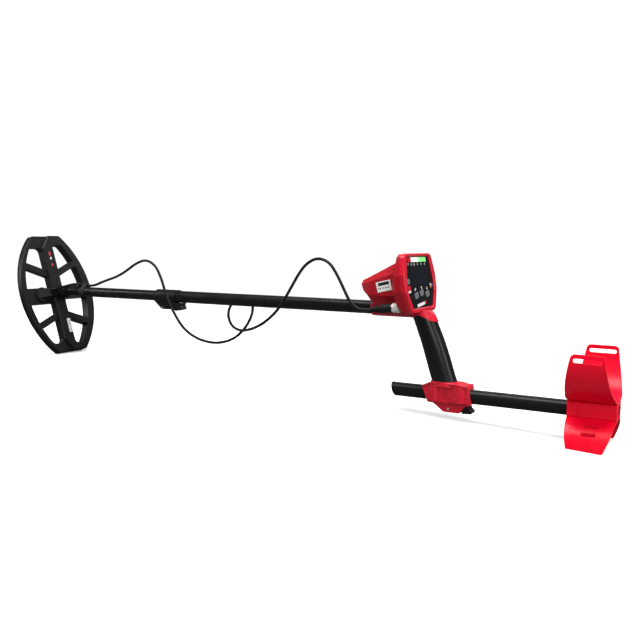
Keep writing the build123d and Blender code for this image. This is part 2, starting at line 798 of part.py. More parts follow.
with BuildPart() as battery_contacts:
    for start in (CELL_START - 0.5, CELL_START + CELL_LENGTH + 1.1):
        with BuildSketch(across(start)):
            with Locations(CELL_SPOTS[:2]):
                Rectangle(9, 9)
        extrude(amount=0.4)
finish(battery_contacts, "battery_contacts")

with BuildPart() as battery_door:
    # the hood over the nose, lifted off to reach the cells
    add(NOSE_OUTER)
    add(NOSE_INNER, mode=Mode.SUBTRACT)
    with BuildSketch(upright(60)):
        add(SEAM)
    extrude(amount=120, mode=Mode.INTERSECT)
    with BuildSketch(DOOR.offset(-0.5)):
        with GridLocations(3.2, 0, 5, 1):
            with Locations((-12, 0)):
                SlotOverall(12, 1.2, rotation=90)
    extrude(amount=2, mode=Mode.SUBTRACT)
finish(battery_door, "battery_door")

with BuildPart() as speaker:
    # leans against the slanting wall behind its slots
    with BuildSketch(Plane(origin=(760, -24.4, 13.4), z_dir=(0, 0.806, 0.591))):
        Circle(9)
    extrude(amount=3)
    with BuildSketch(Plane(origin=(760, -24.4, 13.4), z_dir=(0, 0.806, 0.591)).offset(3)):
        Circle(4.5)
    extrude(amount=2)
finish(speaker, "speaker")

WALL_TURN = degrees(atan2(4, 40))  # plan angle of the pod's side walls
with BuildPart() as side_label:
    wall = Plane(
        origin=(755, -34.52, 37.0),
        x_dir=(cos(radians(WALL_TURN)), -sin(radians(WALL_TURN)), 0),
        z_dir=(-sin(radians(WALL_TURN)), -cos(radians(WALL_TURN)), 0),
    )
    with BuildSketch(wall):
        Polygon((-15.5, 5.0), (10.5, 11.0), (14.5, -5.0), (-11, -11.0), align=None)
    extrude(amount=0.3)
finish(side_label, "side_label")

# ---------------------------------------------------------------- coil connector
with BuildPart() as coil_socket:
    with BuildSketch(on_plug(777)):
        Circle(SOCKET_R)
    extrude(amount=18)
    with BuildSketch(on_plug(787)):
        Circle(SOCKET_R + 0.8)
    extrude(amount=5.5)
    with BuildSketch(on_plug(777)):
        Circle(4)
    extrude(amount=9, mode=Mode.SUBTRACT)
finish(coil_socket, "coil_socket")

with BuildPart() as connector_nut:
    with BuildSketch(on_plug(772.5)):
        Circle(7.6)
    extrude(amount=6.5)
    with BuildSketch(on_plug(772.5)):
        with PolarLocations(7.6, 6):
            Rectangle(4, 2.4)
    extrude(amount=5, mode=Mode.SUBTRACT)
    with BuildSketch(on_plug(779)):
        Circle(8.3)
    extrude(amount=6)
    with BuildSketch(on_plug(776.5)):
        Circle(SOCKET_R + PIN_FIT)
    extrude(amount=20, mode=Mode.SUBTRACT)
    with BuildSketch(on_plug(770)):
        Circle(4.2 + PIN_FIT)
    extrude(amount=20, mode=Mode.SUBTRACT)
finish(connector_nut, "connector_nut")

with BuildPart() as connector_body:
    with BuildSketch(on_plug(750)):
        Circle(6)
    with BuildSketch(on_plug(754)):
        Circle(6.9)
    loft()
    with BuildSketch(on_plug(754)):
        Circle(6.9)
    extrude(amount=18)
    with BuildSketch(on_plug(772)):
        Circle(4.2)
    extrude(amount=4.3)
    with BuildSketch(on_plug(776.3)):
        Circle(3.6)
    extrude(amount=7)
finish(connector_body, "connector_body")

with BuildPart() as connector_boot:
    with BuildSketch(on_plug(BOOT_START)):
        Circle(3.1)
    with BuildSketch(on_plug(750)):
        Circle(5.2)
    loft()
    for ring in range(5):
        with BuildSketch(on_plug(BOOT_START + 2.4 + 3.2 * ring)):
            Circle(4.1 + 0.42 * ring)
        extrude(amount=1.7)
finish(connector_boot, "connector_boot")

# ---------------------------------------------------------------- handle
GRIP_SECTIONS = (
    # Z, middle X, half length, half width
    (-6.0, 808.4, 18.2, 15.7),
    (-17.0, 812.8, 18.7, 16.2),
    (-51.0, 826.6, 19.7, 17.0),
    (-82.0, 837.2, 20.2, 17.2),
    (-110.0, 846.6, 20.4, 17.2),
)
CLAMP_PART_Z = -134.3  # where the clamp's two halves meet
REAR_PIN = (857.0, -152.6)


def core(inset, top, bottom):
    """The straight post that runs through the grip."""
    with BuildPart() as post:
        for z, x, length, width in ((top, 812, 27, 21), (bottom, 848.5, 29, 22)):
            with BuildSketch(Plane(origin=(x, 0, z))):
                RectangleRounded(length - 2 * inset, width - 2 * inset, 8 - inset)
        loft()
    return post.part


CORE = core(0, -9.5, -116)
CORE_HOLLOW = core(3, -12, -112)
GRIP_TOP = ((796.6, -14.2), (799, -8.9), (808, -8.4), (816, -11), (824, -15.3), (832, -17.4))


def clamp_block(upper):
    """One half of the moulded clamp round the rear shaft."""
    with BuildPart() as block:
        with BuildSketch(upright(40)):
            Polygon(
                (814.5, -118), (819.5, -116.5), (828.5, -112), (872.5, -112), (880, -114), (888.3, -114),
                (892, -128), (895, -142), (890.3, -144.8), (884, -146.4), (875, -157.9), (849.2, -157.8),
                (832, -144.8), (824.5, -144.6), align=None,
            )
        extrude(amount=80)
        with BuildSketch(across(800)):
            Polygon(
                (-17.6, -105), (-17.6, -112), (-15, -121), (-15, CLAMP_PART_Z + 0.6),
                (-14.2, CLAMP_PART_Z + 0.2), (-14.2, CLAMP_PART_Z - 0.2), (-15, CLAMP_PART_Z - 0.6),
                (-15, -141), (-10.5, -147.5), (-10.5, -160), (10.5, -160), (10.5, -147.5), (15, -141),
                (15, CLAMP_PART_Z - 0.6), (14.2, CLAMP_PART_Z - 0.2), (14.2, CLAMP_PART_Z + 0.2),
                (15, CLAMP_PART_Z + 0.6), (15, -121), (17.6, -112), (17.6, -105), align=None,
            )
        extrude(amount=110, mode=Mode.INTERSECT)
        # bulging corners, which leave a waist in the side walls
        with BuildSketch(Plane.XY.offset(-141)):
            with Locations((834, 7.6), (834, -7.6)):
                Circle(9.6)
            with Locations((875, 3.4), (875, -3.4)):
                Circle(14.6)
        extrude(amount=24)
        with BuildSketch(upright(40)):
            with Locations((852, CLAMP_PART_Z - 30 if upper else CLAMP_PART_Z + 30)):
                Rectangle(120, 60)
        extrude(amount=80, mode=Mode.SUBTRACT)
        for side in (-1, 1):
            # shallow scoop in the side wall
            with BuildSketch(Plane.XY.offset(-150)):
                with Locations((852.5, side * 30.2)):
                    Circle(16.6)
            extrude(amount=31, mode=Mode.SUBTRACT)
        with BuildSketch(across(800, z=ARM_Z)):
            Circle(ARM_R + SLIDE_FIT)
        extrude(amount=110, mode=Mode.SUBTRACT)
    return block.part


with BuildPart() as grip_collar:
    # flared rim under the grip
    with BuildSketch(Plane(origin=(847, 0, -110))):
        Ellipse(21.6, 18.2)
    with BuildSketch(Plane(origin=(849, 0, -117.5))):
        Ellipse(26, 18.8)
    loft()

CLAMP_UPPER = clamp_block(True)
CLAMP_LOWER = clamp_block(False)
CLAMP_SCREW_X = (826, 884)

with BuildPart() as hood:
    # rounded hood over the top of the grip, curving down its back
    with BuildSketch(Plane(origin=(806, 0, -0.2))):
        Ellipse(18.4, 13.6)
    with BuildSketch(Plane(origin=(813.4, 0, -17.4))):
        Ellipse(20.4, 16.8)
    loft()
    with BuildSketch(upright(30)):
        Polygon(
            *GRIP_TOP, (838, -18), (834.5, -15.5), (829.5, -8.6), (823, -2.8), (818, -0.8), (812.2, -0.8),
            (811.8, -3.6), (803.9, -5.2), (790, -7.4), (778, -8.8), (778, -14.2), align=None,
        )
    extrude(amount=60, mode=Mode.INTERSECT)

with BuildPart() as handle_frame:
    with BuildSketch(across(722)):
        Circle(CRADLE_R)
    extrude(amount=74)
    add(hood.part)
    add(CORE)
    add(CORE_HOLLOW, mode=Mode.SUBTRACT)
    add(CLAMP_UPPER)
    add(grip_collar.part)
    with BuildSketch(across(700)):
        Circle(MIDDLE_R)
    extrude(amount=MIDDLE_END - 700, mode=Mode.SUBTRACT)
    for x in CLAMP_SCREW_X:
        for side in (-1, 1):
            with BuildSketch(Plane.XY.offset(CLAMP_PART_Z)):
                with Locations((x, side * 13)):
                    Circle(0.9)
            extrude(amount=8, mode=Mode.SUBTRACT)
finish(handle_frame, "handle_frame")

with BuildPart() as grip_sleeve:
    for z, x, half_length, half_width in GRIP_SECTIONS:
        with BuildSketch(Plane(origin=(x, 0, z))):
            Ellipse(half_length, half_width)
    loft()
    with BuildSketch(upright(30)):
        Polygon((770, -14.2), *GRIP_TOP, (838, -18), (838, 20), (770, 20), align=None)
    extrude(amount=60, mode=Mode.SUBTRACT)
    add(CORE, mode=Mode.SUBTRACT)
finish(grip_sleeve, "grip_sleeve")

with BuildPart() as rear_clamp_cap:
    add(CLAMP_LOWER)
    with BuildSketch(upright(LEVER_SLOT / 2)):
        with Locations(REAR_PIN):
            Circle(7)
        Polygon((850, -152.6), (850, -165), (900, -165), (900, -147), (857, -145.6), align=None)
    extrude(amount=LEVER_SLOT, mode=Mode.SUBTRACT)
    with BuildSketch(Plane.XY.offset(-150)):
        with Locations((857, 0)):
            Rectangle(14, LEVER_SLOT)
    extrude(amount=10, mode=Mode.SUBTRACT)
    with BuildSketch(upright(20)):
        with Locations(REAR_PIN):
            Circle(PIN_R)
    extrude(amount=40, mode=Mode.SUBTRACT)
    for x in CLAMP_SCREW_X:
        for side in (-1, 1):
            with BuildSketch(Plane.XY.offset(CLAMP_PART_Z)):
                with Locations((x, side * 13)):
                    Circle(0.9)
            extrude(amount=-20, mode=Mode.SUBTRACT)
finish(rear_clamp_cap, "rear_clamp_cap")

with BuildPart() as clamp_screws:
    for x in CLAMP_SCREW_X:
        for side in (-1, 1):
            with BuildSketch(Plane.XY.offset(CLAMP_PART_Z - 5)):
                with Locations((x, side * 13)):
                    Circle(0.9)
            extrude(amount=12)
finish(clamp_screws, "clamp_screws")

rear_lock_pin = across_pin(REAR_PIN, 10.3)
finish(rear_lock_pin, "rear_lock_pin")

with BuildPart() as rear_lock_pad:
    with BuildSketch(across(850.5)):
        with Locations((0, -143.8)):
            Rectangle(7.6, 4.4)
        with Locations((0, ARM_Z)):
            Circle(ARM_R + 0.3, mode=Mode.SUBTRACT)
    extrude(amount=13)
finish(rear_lock_pad, "rear_lock_pad")

rear_lever = lock_lever(
    REAR_PIN,
    ((857, -148.6), (884, -149.6), (884, -157), (857, -157)),
    ((884.4, -147.2), (889.3, -147.2), (890, -150.2), (894.6, -153.6), (894, -157.4), (878, -158.2)),
    9.0,
    5.4,
    CAM_THROW,
)
finish(rear_lever, "rear_lever")

# ---------------------------------------------------------------- rear shaft and armrest
arm_tube = tube(ARM_R, ARM_R - WALL, ARM_START + 2, ARM_END, ARM_Z)
finish(arm_tube, "arm_tube")

with BuildPart() as arm_tube_front_plug:
    with BuildSketch(upright(20)):
        Polygon((757.4, -119), (765, -143.6), (766, -143.6), (766, -119), align=None)
    extrude(amount=40)
    with BuildSketch(across(750, z=ARM_Z)):
        Circle(ARM_R)
    extrude(amount=20, mode=Mode.INTERSECT)
    with BuildSketch(across(766, z=ARM_Z)):
        Circle(ARM_R - WALL)
    extrude(amount=14)
finish(arm_tube_front_plug, "arm_tube_front_plug")

with BuildPart() as arm_tube_rear_plug:
    with BuildSketch(across(ARM_END, z=ARM_Z)):
        Circle(ARM_R)
    extrude(amount=2)
    with BuildSketch(across(ARM_END, z=ARM_Z)):
        Circle(ARM_R - WALL)
    extrude(amount=-14)
finish(arm_tube_rear_plug, "arm_tube_rear_plug")

HEEL = coil_point(-COIL_LENGTH / 2, 0, 0)
STANCE = degrees(atan2(FOOT_Z - HEEL[2], FOOT_X - HEEL[0]))  # turn about Y that stands it on heel and feet
WING_TOP = -44.3
ARMREST_SCREWS = ((1054, -126.5), (1054, -136))

with BuildPart() as armrest:
    with BuildSketch(across(1030)):
        # moulded waist that holds the tube
        with Locations((0, -129.4)):
            RectangleRounded(36, 25.6, 4)
        for side in (-1, 1):
            with BuildLine():
                # cradle wing
                ThreePointArc((side * 6, -118), (side * 49, -97), (side * 63.2, WING_TOP))
                Line((side * 63.2, WING_TOP), (side * 60.2, WING_TOP))
                ThreePointArc((side * 60.2, WING_TOP), (side * 46.4, -94.4), (side * 6, -114.6))
                Line((side * 6, -114.6), (side * 6, -118))
            make_face()
            with BuildLine():
                # splayed foot
                ThreePointArc((side * 8, -139), (side * 36, -151.5), (side * 54.5, -184))
                Line((side * 54.5, -184), (side * 51.3, -184))
                ThreePointArc((side * 51.3, -184), (side * 33.4, -153.8), (side * 8, -142))
                Line((side * 8, -142), (side * 8, -139))
            make_face()
    extrude(amount=80)
    with BuildSketch(upright(80)):
        with BuildLine():
            Spline((1037.6, -112), (1041.5, -82), (1048.9, WING_TOP))
            Line((1048.9, WING_TOP), (1093, WING_TOP))
            Spline((1093, WING_TOP), (1098.5, -82), (1105.5, -112))
            Line((1105.5, -112), (1105.5, -142))
            Spline((1105.5, -142), (1100.5, -162), (1090.5, -186))
            Line((1090.5, -186), (1046.5, -186))
            Spline((1046.5, -186), (1040.5, -162), (1037.6, -142))
            Line((1037.6, -142), (1037.6, -112))
        make_face()
    extrude(amount=160, mode=Mode.INTERSECT)
    ground_line = (1, 0, tan(radians(STANCE)))
    with BuildSketch(Plane(origin=(FOOT_X, 80, FOOT_Z), x_dir=ground_line, z_dir=(0, -1, 0))):
        with Locations((0, -20)):
            Rectangle(160, 40)
    extrude(amount=160, mode=Mode.SUBTRACT)
    with BuildSketch(upright(80)):
        # strap slots near the wings' tops
        with Locations((1071, -53)):
            SlotOverall(39, 6.2)
    extrude(amount=160, mode=Mode.SUBTRACT)
    with BuildSketch(Plane.XY.offset(-190)):
        # two narrow slots in each foot
        for side in (-1, 1):
            with Locations((1073, side * 32)):
                SlotOverall(20, 2.6)
            with Locations((1072, side * 42.5)):
                SlotOverall(20, 3.6)
    extrude(amount=46, mode=Mode.SUBTRACT)
    with BuildSketch(across(1030, z=ARM_Z)):
        Circle(ARM_R)
    extrude(amount=80, mode=Mode.SUBTRACT)
    for x, z in ARMREST_SCREWS:
        with BuildSketch(upright(30)):
            with Locations((x, z)):
                Circle(2.4)
        extrude(amount=13.2, mode=Mode.SUBTRACT)
        with BuildSketch(upright(-30)):
            with Locations((x, z)):
                Circle(2.4)
        extrude(amount=-13.2, mode=Mode.SUBTRACT)
    fillet(armrest.edges().filter_by(Axis.Y).sort_by(Axis.Z)[-4:], 6)
finish(armrest, "armrest")

with BuildPart() as armrest_screws:
    for x, z in ARMREST_SCREWS:
        for start, depth in ((17.6, 0.8), (-17.6, -0.8)):
            with BuildSketch(upright(start)):
                with Locations((x, z)):
                    Circle(2.3)
            extrude(amount=depth)
finish(armrest_screws, "armrest_screws")

# ---------------------------------------------------------------- coil cable
# Route points, chosen by hand: from the gland to the strap, then on to the connector's boot.
FRONT_ROUTE = (
    coil_point(GLAND_TOE, GLAND_RIGHT, GLAND_TOP),
    coil_point(GLAND_TOE, GLAND_RIGHT, GLAND_TOP + 11),
    (24, -22.5, 10.5),
    (36, -13, 15),
    (46, -3, 16),
    (STRAP_START + 1, *STRAP_CABLE),
    (STRAP_END, *STRAP_CABLE),
)
MAIN_ROUTE = (
    (STRAP_END, *STRAP_CABLE),
    (82, *STRAP_CABLE),
    (102, 0.5, 19.5),
    (126, -2, 26.5),
    (154, -4, 34),
    (183, -7, 46.5),
    (210, -11, 61),
    (240, -15, 70),
    (268, -19, 60.5),
    (286, -23, 36.5),
    (298, -26, 11),
    (309, -28, -9),
    (322, -28, -30),
    (336, -25, -52),
    (353, -20, -68),
    (376, -13, -79),
    (405, -5, -83),
    (437, 3, -73.5),
    (458, 11, -51),
    (467, 18, -28),
    (465, 24, -9),
    (450, 27, 2),
    (430, 27, 2),
    (416, 24, -9),
    (411, 18, -29),
    (425, 10, -50),
    (452, 1, -57),
    (480, -8, -52),
    (508, -16, -41.5),
    (532, -22, -27),
    (552, -26, -10),
    (567, -28, 9.5),
    (580, -28, 30),
    (592, -26, 51),
    (605, -23, 69),
    (626, -21, 80),
    (650, -23, 73),
    (667, -27, 52.5),
    (681, -31, 31),
    (694, -35, 11),
    tuple(on_plug(BOOT_START - 20).origin),
    tuple(on_plug(BOOT_START).origin),
)


def bend_radii(points):
    """Radius of the arc at each inner point, as large as its two runs allow."""
    radii = []
    for before, corner, after in zip(points, points[1:], points[2:]):
        first = Vector(*corner) - Vector(*before)
        second = Vector(*after) - Vector(*corner)
        turn = radians(first.get_angle(second))
        radii.append(0.45 * min(first.length, second.length) / tan(turn / 2))
    return radii


def cable(points):
    """Round cable along straight runs joined by tangent arcs, and its length."""
    with BuildPart() as cord:
        with BuildLine():
            path = FilletPolyline(*points, radius=bend_radii(points))
        with BuildSketch(Plane(origin=path @ 0, z_dir=path % 0)):
            Circle(CABLE_R)
        sweep(path=path)
    return cord, path.length


coil_cable_front, front_length = cable(FRONT_ROUTE)
finish(coil_cable_front, "coil_cable_front")
coil_cable_main, main_length = cable(MAIN_ROUTE)
finish(coil_cable_main, "coil_cable_main")

for cable_name, route, length in (
    ("front", FRONT_ROUTE, front_length),
    ("main", MAIN_ROUTE, main_length),
):
    print(cable_name, "cable length", round(length, 1))
    print(cable_name, "bend radii", [round(radius, 1) for radius in bend_radii(route)])

# ---------------------------------------------------------------- stand it on the ground and write it
ON_THE_CABLE = ("coil_cable_front", "coil_cable_main", "connector_boot", "connector_body", "connector_nut")
turned = Location((0, 0, 0), (0, 1, 0), STANCE)
firm = Compound([piece.moved(turned) for label, piece in pieces.items() if label not in ON_THE_CABLE])
box = firm.bounding_box()
ORIGIN = (-(box.min.X + box.max.X) / 2, -(box.min.Y + box.max.Y) / 2, -box.min.Z)
STANDING = Location(ORIGIN, (0, 1, 0), STANCE)
print("stance", round(STANCE, 4), "origin shift", [round(value, 4) for value in ORIGIN])
print("size", [round(value, 2) for value in box.size])

os.makedirs("parts", exist_ok=True)
for label, piece in pieces.items():
    piece.move(STANDING)
    piece.label = label
    export_step(piece, f"parts/{label}.step")
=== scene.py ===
import json
import math

import bmesh
import bpy
from mathutils import Matrix, Vector


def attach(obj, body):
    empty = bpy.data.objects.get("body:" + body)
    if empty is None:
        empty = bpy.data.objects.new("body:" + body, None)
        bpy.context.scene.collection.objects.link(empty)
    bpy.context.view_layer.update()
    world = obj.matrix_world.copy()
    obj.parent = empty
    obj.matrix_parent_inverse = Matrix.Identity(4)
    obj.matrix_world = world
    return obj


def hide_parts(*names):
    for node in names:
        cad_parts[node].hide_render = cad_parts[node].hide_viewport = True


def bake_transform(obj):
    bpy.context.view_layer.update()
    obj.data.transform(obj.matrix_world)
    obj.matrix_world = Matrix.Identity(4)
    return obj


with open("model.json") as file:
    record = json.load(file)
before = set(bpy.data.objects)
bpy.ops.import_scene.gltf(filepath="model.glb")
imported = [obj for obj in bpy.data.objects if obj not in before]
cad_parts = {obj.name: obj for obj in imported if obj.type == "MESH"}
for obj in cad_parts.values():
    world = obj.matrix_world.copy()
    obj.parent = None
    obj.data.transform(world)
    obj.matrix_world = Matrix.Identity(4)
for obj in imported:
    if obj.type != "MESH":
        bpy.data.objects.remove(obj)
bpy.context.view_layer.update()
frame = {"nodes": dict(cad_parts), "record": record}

# ---------------------------------------------------------------- shaft frame to row frame
STANCE = math.radians(-2.6479)
SHIFT = Vector((-0.5181237, 0.0, 0.1303759))
TURN = Matrix.Rotation(STANCE, 3, "Y")


def at(x, y, z):
    """A point given in the shaft's frame in millimetres, in the row frame in metres."""
    return TURN @ Vector((x, y, z)) / 1000 + SHIFT


def along(x, y, z):
    """A direction of the shaft's frame in the row frame."""
    return (TURN @ Vector((x, y, z))).normalized()


# ---------------------------------------------------------------- camera
CAMERA_PLACE = (1246.98, -1109.99, 101.36)  # shaft's frame, millimetres
CAMERA_TURN = (29.455, 5.757, 0.493)  # yaw, pitch and roll in degrees
CAMERA_LENS, SENSOR_WIDTH = 42.05, 36.0


def place_camera():
    yaw, pitch, roll = (math.radians(angle) for angle in CAMERA_TURN)
    back = Vector((math.sin(yaw) * math.cos(pitch), -math.cos(yaw) * math.cos(pitch), math.sin(pitch)))
    right = Vector((0, 0, 1)).cross(back).normalized()
    up = back.cross(right)
    right, up = (
        math.cos(roll) * right + math.sin(roll) * up,
        -math.sin(roll) * right + math.cos(roll) * up,
    )
    axes = Matrix((TURN @ right, TURN @ up, TURN @ back)).transposed()
    data = bpy.data.cameras.new("camera")
    data.lens = CAMERA_LENS
    data.sensor_width = SENSOR_WIDTH
    data.clip_start = 0.01
    camera = bpy.data.objects.new("camera", data)
    camera.matrix_world = Matrix.Translation(at(*CAMERA_PLACE)) @ axes.to_4x4()
    bpy.context.scene.collection.objects.link(camera)
    bpy.context.scene.camera = camera


place_camera()

# ---------------------------------------------------------------- cable
COIL_TILT = math.radians(17.7)
PIVOT_HEIGHT = 32.5
PLUG_FACE = (780.0, -38.0, 4.5)
PLUG_RISE = math.radians(7.0)


def coil_point(toe, right, height):
    """A point given in the coil's own directions, in the shaft's frame."""
    lift = height - PIVOT_HEIGHT
    return (
        -toe * math.sin(COIL_TILT) + lift * math.cos(COIL_TILT),
        right,
        toe * math.cos(COIL_TILT) + lift * math.sin(COIL_TILT),
    )


def on_plug(distance):
    """A point of the plug's sloping axis, in the shaft's frame."""
    x, y, z = PLUG_FACE
    run = distance - x
    return (x + run * math.cos(PLUG_RISE), y, z + run * math.sin(PLUG_RISE))


CABLE_R = 0.0025
CABLE_STEPS, CABLE_SIDES = 10, 20  # steps along each span of the curve, and points round the cable
STRAP = (2.5, 12.75)  # y and z of the cable under its strap
FRONT_ROUTE = (
    coil_point(4.2, -27.0, 34.0),
    coil_point(4.2, -27.0, 45.0),
    (24, -22.5, 10.5),
    (36, -13, 15),
    (46, -3, 16),
    (55, *STRAP),
    (64, *STRAP),
)
MAIN_ROUTE = (
    (64, *STRAP),
    (82, *STRAP),
    (102, 0.5, 19.5),
    (126, -2, 26.5),
    (154, -4, 34),
    (183, -7, 46.5),
    (210, -11, 61),
    (240, -15, 70),
    (268, -19, 60.5),
    (286, -23, 36.5),
    (298, -26, 11),
    (309, -28, -9),
    (322, -28, -30),
    (336, -25, -52),
    (353, -20, -68),
    (376, -13, -79),
    (405, -5, -83),
    (437, 3, -73.5),
    (458, 11, -51),
    (467, 18, -28),
    (465, 24, -9),
    (450, 27, 2),
    (430, 27, 2),
    (416, 24, -9),
    (411, 18, -29),
    (425, 10, -50),
    (452, 1, -57),
    (480, -8, -52),
    (508, -16, -41.5),
    (532, -22, -27),
    (552, -26, -10),
    (567, -28, 9.5),
    (580, -28, 30),
    (592, -26, 51),
    (605, -23, 69),
    (626, -21, 80),
    (650, -23, 73),
    (667, -27, 52.5),
    (681, -31, 31),
    (694, -35, 11),
    on_plug(712.0),
    on_plug(732.0),
)


def smooth_line(route, name):
    """Points along one NURBS curve whose control points are the route's points."""
    curve = bpy.data.curves.new(name, "CURVE")
    curve.dimensions = "3D"
    spline = curve.splines.new("NURBS")
    spline.points.add(len(route) - 1)
    for point, place in zip(spline.points, route):
        point.co = (*at(*place), 1.0)
    spline.order_u = 3
    spline.use_endpoint_u = True
    curve.resolution_u = CABLE_STEPS
    holder = bpy.data.objects.new(name, curve)
    mesh = bpy.data.meshes.new_from_object(holder)
    path = [vertex.co.copy() for vertex in mesh.vertices]
    bpy.data.objects.remove(holder)
    return path


def link(obj):
    bpy.context.scene.collection.objects.link(obj)
    return obj


def swept(name, path, radius, sides=CABLE_SIDES):
    """A round tube along a path, with flat ends."""
    bm = bmesh.new()
    rings = []
    tangent = (path[1] - path[0]).normalized()
    side = tangent.orthogonal().normalized()
    for i, point in enumerate(path):
        before = path[max(i - 1, 0)]
        after = path[min(i + 1, len(path) - 1)]
        tangent = (after - before).normalized()
        side = (side - side.dot(tangent) * tangent).normalized()
        other = tangent.cross(side)
        ring = []
        for k in range(sides):
            turn = 2 * math.pi * k / sides
            ring.append(bm.verts.new(point + radius * (math.cos(turn) * side + math.sin(turn) * other)))
        rings.append(ring)
    for one, two in zip(rings, rings[1:]):
        for k in range(sides):
            bm.faces.new((one[k], one[(k + 1) % sides], two[(k + 1) % sides], two[k]))
    bm.faces.new(list(reversed(rings[0])))
    bm.faces.new(rings[-1])
    mesh = bpy.data.meshes.new(name)
    bm.to_mesh(mesh)
    bm.free()
    for face in mesh.polygons:
        face.use_smooth = len(face.vertices) == 4
    return link(bpy.data.objects.new(name, mesh))


def make_cable(name, node, route):
    """One part of the cable in place of its CAD solid, a round tube along a smooth route."""
    path = smooth_line(route, name)
    cable = swept(name, path, CABLE_R)
    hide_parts(node)
    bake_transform(cable)
    return cable


front_cable = make_cable(
    "coil_lead_front", "coil_cable_front", FRONT_ROUTE,
)
main_cable = make_cable(
    "coil_lead_main", "coil_cable_main", MAIN_ROUTE,
)

# ---------------------------------------------------------------- materials
MIX_A, MIX_B, MIX_RESULT = 6, 7, 2  # a Mix node's colour sockets
BEVEL_SAMPLES = 6
WEAR_REACH, EDGE_ROUND = 0.0007, 0.0006  # metres
WORN_FROM, WORN_TO = 0.985, 0.88  # agreement of true and rounded normals where wear starts and is full
GRAIN_HEIGHT = 0.0004
SCATTER = (0.006, 0.0012, 0.0012)


def blank(name):
    """A material with its node tree, its Principled shader and a small helper that adds nodes."""
    material = bpy.data.materials.new(name)
    material.use_nodes = True
    tree = material.node_tree
    shader = tree.nodes["Principled BSDF"]

    def node(kind, **settings):
        made = tree.nodes.new(kind)
        for key, value in settings.items():
            if key in made.inputs:
                made.inputs[key].default_value = value
            else:
                setattr(made, key.lower().replace(" ", "_"), value)
        return made

    return material, tree.links, shader, node


def noise(node, links, where, scale, detail, rough=0.5):
    """Noise laid over the piece's own coordinates."""
    made = node("ShaderNodeTexNoise", Scale=scale, Detail=detail, Roughness=rough)
    links.new(where.outputs["Object"], made.inputs["Vector"])
    return made


def ramp_between(node, links, factor, low, high, a=0.35, b=0.65):
    """Map a noise value from [a, b] to [low, high]."""
    made = node("ShaderNodeMapRange")
    made.inputs["From Min"].default_value = a
    made.inputs["From Max"].default_value = b
    made.inputs["To Min"].default_value = low
    made.inputs["To Max"].default_value = high
    links.new(factor, made.inputs["Value"])
    return made


def mix_colour(node, links, factor, one, two):
    made = node("ShaderNodeMix", data_type="RGBA")
    made.inputs[MIX_A].default_value = (*one, 1.0)
    made.inputs[MIX_B].default_value = (*two, 1.0)
    links.new(factor, made.inputs[0])
    return made


def moulded(name, colour, rough, grain=0.05, grain_size=900.0, spread=0.06, tint=0.12, wear=0.0,
            subsurface=0.0, metallic=0.0, specular=0.5, round_edges=True):
    """Moulded plastic, rubber or coated tube: uneven colour, fine grain, varying gloss and worn edges."""
    material, links, shader, node = blank(name)
    where = node("ShaderNodeTexCoord")
    broad = noise(node, links, where, 9.0, 4.0)
    dark = tuple(c * (1 - tint) for c in colour)
    light = tuple(min(c * (1 + tint) + 0.004, 1.0) for c in colour)
    base = mix_colour(node, links, broad.outputs["Fac"], dark, light)
    colour_out = base.outputs[MIX_RESULT]
    if wear:
        bevel = node("ShaderNodeBevel", samples=BEVEL_SAMPLES)
        bevel.inputs["Radius"].default_value = WEAR_REACH
        geometry = node("ShaderNodeNewGeometry")
        dot = node("ShaderNodeVectorMath", operation="DOT_PRODUCT")
        links.new(bevel.outputs["Normal"], dot.inputs[0])
        links.new(geometry.outputs["Normal"], dot.inputs[1])
        edge = ramp_between(node, links, dot.outputs["Value"], wear, 0.0, WORN_TO, WORN_FROM)
        spots = noise(node, links, where, 70.0, 4.0)
        broken = node("ShaderNodeMath", operation="MULTIPLY")
        links.new(edge.outputs["Result"], broken.inputs[0])
        share = ramp_between(node, links, spots.outputs["Fac"], 0.15, 1.0)
        links.new(share.outputs["Result"], broken.inputs[1])
        worn = node("ShaderNodeMix", data_type="RGBA")
        links.new(broken.outputs["Value"], worn.inputs[0])
        links.new(colour_out, worn.inputs[MIX_A])
        worn.inputs[MIX_B].default_value = (*(min(c * 1.7 + 0.05, 1.0) for c in colour), 1.0)
        colour_out = worn.outputs[MIX_RESULT]
    links.new(colour_out, shader.inputs["Base Color"])
    patchy = noise(node, links, where, 38.0, 5.0, 0.6)
    gloss = ramp_between(node, links, patchy.outputs["Fac"], max(rough - spread, 0.02), rough + spread)
    links.new(gloss.outputs["Result"], shader.inputs["Roughness"])
    fine = noise(node, links, where, grain_size, 2.0)
    bump = node("ShaderNodeBump")
    bump.inputs["Strength"].default_value = grain
    bump.inputs["Distance"].default_value = GRAIN_HEIGHT
    links.new(fine.outputs["Fac"], bump.inputs["Height"])
    if round_edges:
        rounded = node("ShaderNodeBevel", samples=BEVEL_SAMPLES)
        rounded.inputs["Radius"].default_value = EDGE_ROUND
        links.new(rounded.outputs["Normal"], bump.inputs["Normal"])
    links.new(bump.outputs["Normal"], shader.inputs["Normal"])
    shader.inputs["Metallic"].default_value = metallic
    shader.inputs["Specular IOR Level"].default_value = specular
    if subsurface:
        shader.inputs["Subsurface Weight"].default_value = subsurface
        shader.inputs["Subsurface Radius"].default_value = SCATTER
    return material


